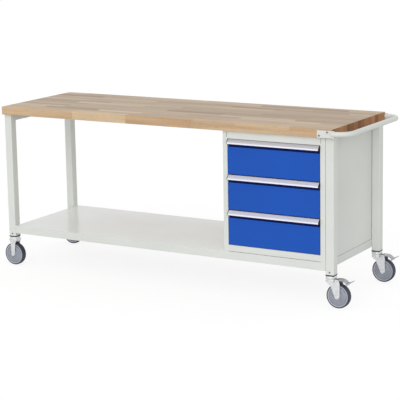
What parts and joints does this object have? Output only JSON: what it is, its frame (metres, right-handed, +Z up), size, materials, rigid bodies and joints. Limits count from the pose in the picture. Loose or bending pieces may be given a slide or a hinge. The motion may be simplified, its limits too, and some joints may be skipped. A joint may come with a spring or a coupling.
{
  "type": "mobile workbench",
  "caption": "Workbench on casters with a beech worktop, a sheet-steel lower shelf, a drawer cabinet at one end and a tubular push handle.",
  "frame": {"origin": "on the floor below the middle of the whole bench, wheels and push handle included", "axes": "+Z up, +X along the bench towards the drawers and push handle, drawers open towards -Y"},
  "size_m": [2.138, 0.681, 0.9],
  "materials": {
    "beech": "oiled glued staves",
    "grey_paint": "powder coat",
    "blue_paint": "powder coat",
    "drawer_paint": "powder coat",
    "grip_aluminium": "anodised",
    "black_plastic": "moulded",
    "zinc": "zinc plated",
    "wheel_plastic": "moulded",
    "tyre_rubber": "rubber"
  },
  "bodies": {
    "frame": {"worktop": "beech", "leg_front_left": "grey_paint", "leg_rear_left": "grey_paint", "leg_front_right": "grey_paint", "leg_rear_right": "grey_paint", "upper_bar_left": "grey_paint", "upper_bar_right": "grey_paint", "lower_bar_left": "grey_paint", "lower_bar_right": "grey_paint", "shelf_tray": "grey_paint", "shelf_ribs": "grey_paint", "cabinet_side_left": "grey_paint", "cabinet_side_right": "grey_paint", "cabinet_rail_top": "grey_paint", "cabinet_rail_bottom": "grey_paint", "cabinet_back": "grey_paint", "cabinet_floor": "grey_paint", "push_handle_tube": "grey_paint", "handle_plates": "grey_paint", "slide_runners": "zinc", "handle_screws": "zinc", "worktop_screws": "zinc", "leg_plug_screws": "zinc", "fixed_forks": "zinc", "fixed_axles": "zinc", "swivel_heads": "zinc", "leg_plugs": "black_plastic"},
    "drawer_1": {"drawer_1_front": "blue_paint", "drawer_1_grip": "grip_aluminium", "drawer_1_grip_caps": "black_plastic", "drawer_1_box": "drawer_paint", "drawer_1_slide_bars": "zinc"},
    "slide_1": {"drawer_1_slide_channels": "zinc"},
    "drawer_2": {"drawer_2_front": "blue_paint", "drawer_2_grip": "grip_aluminium", "drawer_2_grip_caps": "black_plastic", "drawer_2_box": "drawer_paint", "drawer_2_slide_bars": "zinc"},
    "slide_2": {"drawer_2_slide_channels": "zinc"},
    "drawer_3": {"drawer_3_front": "blue_paint", "drawer_3_grip": "grip_aluminium", "drawer_3_grip_caps": "black_plastic", "drawer_3_box": "drawer_paint", "drawer_3_slide_bars": "zinc"},
    "slide_3": {"drawer_3_slide_channels": "zinc"},
    "caster_front": {"swivel_fork_front": "zinc", "swivel_axle_front": "zinc"},
    "pedal_front": {"brake_pedal_front": "zinc"},
    "wheel_front_left": {"wheel_core_front_left": "wheel_plastic", "tyre_front_left": "tyre_rubber"},
    "wheel_front_right": {"wheel_core_front_right": "wheel_plastic", "tyre_front_right": "tyre_rubber"},
    "caster_rear": {"swivel_fork_rear": "zinc", "swivel_axle_rear": "zinc"},
    "pedal_rear": {"brake_pedal_rear": "zinc"},
    "wheel_rear_left": {"wheel_core_rear_left": "wheel_plastic", "tyre_rear_left": "tyre_rubber"},
    "wheel_rear_right": {"wheel_core_rear_right": "wheel_plastic", "tyre_rear_right": "tyre_rubber"}
  },
  "joints": [
    {"name": "drawer_1_slide", "type": "slide", "parent": "frame", "child": "drawer_1", "axis": [0, -1, 0], "range_m": [0, 0.5]},
    {"name": "drawer_1_channel_slide", "type": "slide", "parent": "frame", "child": "slide_1", "axis": [0, -1, 0], "range_m": [0, 0.25]},
    {"name": "drawer_2_slide", "type": "slide", "parent": "frame", "child": "drawer_2", "axis": [0, -1, 0], "range_m": [0, 0.5]},
    {"name": "drawer_2_channel_slide", "type": "slide", "parent": "frame", "child": "slide_2", "axis": [0, -1, 0], "range_m": [0, 0.25]},
    {"name": "drawer_3_slide", "type": "slide", "parent": "frame", "child": "drawer_3", "axis": [0, -1, 0], "range_m": [0, 0.5]},
    {"name": "drawer_3_channel_slide", "type": "slide", "parent": "frame", "child": "slide_3", "axis": [0, -1, 0], "range_m": [0, 0.25]},
    {"name": "swivel_front", "type": "hinge", "parent": "frame", "child": "caster_front", "pos_m": [0.9485, -0.2825, 0.15], "axis": [0, 0, 1], "continuous": true},
    {"name": "wheel_spin_front_right", "type": "hinge", "parent": "caster_front", "child": "wheel_front_right", "pos_m": [0.9885, -0.2825, 0.0625], "axis": [0, 1, 0], "continuous": true},
    {"name": "brake_front", "type": "hinge", "parent": "caster_front", "child": "pedal_front", "pos_m": [0.9875, -0.2825, 0.14], "axis": [0, 1, 0], "range_deg": [0, 9]},
    {"name": "wheel_spin_front_left", "type": "hinge", "parent": "frame", "child": "wheel_front_left", "pos_m": [-1.0065, -0.2825, 0.0625], "axis": [0, 1, 0], "continuous": true},
    {"name": "swivel_rear", "type": "hinge", "parent": "frame", "child": "caster_rear", "pos_m": [0.9485, 0.2825, 0.15], "axis": [0, 0, 1], "continuous": true},
    {"name": "wheel_spin_rear_right", "type": "hinge", "parent": "caster_rear", "child": "wheel_rear_right", "pos_m": [0.9885, 0.2825, 0.0625], "axis": [0, 1, 0], "continuous": true},
    {"name": "brake_rear", "type": "hinge", "parent": "caster_rear", "child": "pedal_rear", "pos_m": [0.9875, 0.2825, 0.14], "axis": [0, 1, 0], "range_deg": [0, 9]},
    {"name": "wheel_spin_rear_left", "type": "hinge", "parent": "frame", "child": "wheel_rear_left", "pos_m": [-1.0065, 0.2825, 0.0625], "axis": [0, 1, 0], "continuous": true}
  ],
  "couplings": [
    {"joint": "drawer_1_channel_slide", "follows": "drawer_1_slide", "ratio": 0.5},
    {"joint": "drawer_2_channel_slide", "follows": "drawer_2_slide", "ratio": 0.5},
    {"joint": "drawer_3_channel_slide", "follows": "drawer_3_slide", "ratio": 0.5}
  ]
}
